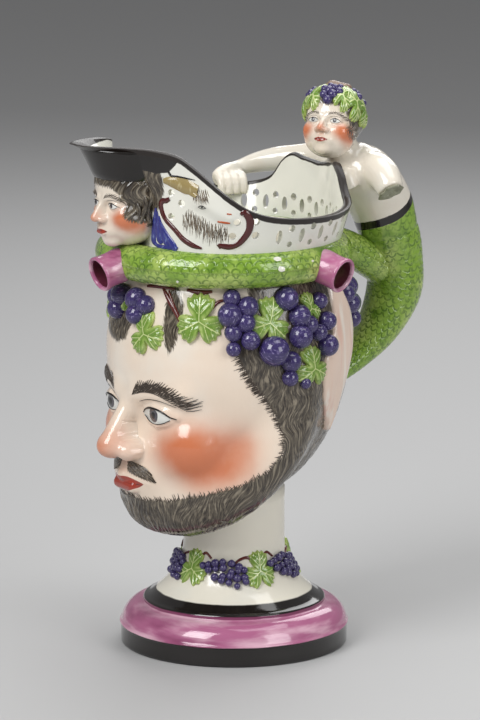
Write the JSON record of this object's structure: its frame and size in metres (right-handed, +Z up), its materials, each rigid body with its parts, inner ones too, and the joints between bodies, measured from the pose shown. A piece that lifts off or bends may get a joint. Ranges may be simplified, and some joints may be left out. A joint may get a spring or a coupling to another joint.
{
  "type": "head pitcher",
  "caption": "Hollow glazed jug shaped as a bearded, vine-crowned head on a moulded foot, with a pierced collar, a spouted tube round the crown and a figure as its handle.",
  "frame": {"origin": "middle of the foot's flat underside", "axes": "+Z up through the jug, -Y towards the face and the pouring lip, +Y towards the handle"},
  "size_m": [0.1495, 0.2163, 0.2939],
  "materials": {
    "glaze": "glossy lead glaze over cream earthenware, painted in enamels"
  },
  "bodies": {
    "root": {"head_jug": "glaze"}
  },
  "joints": []
}
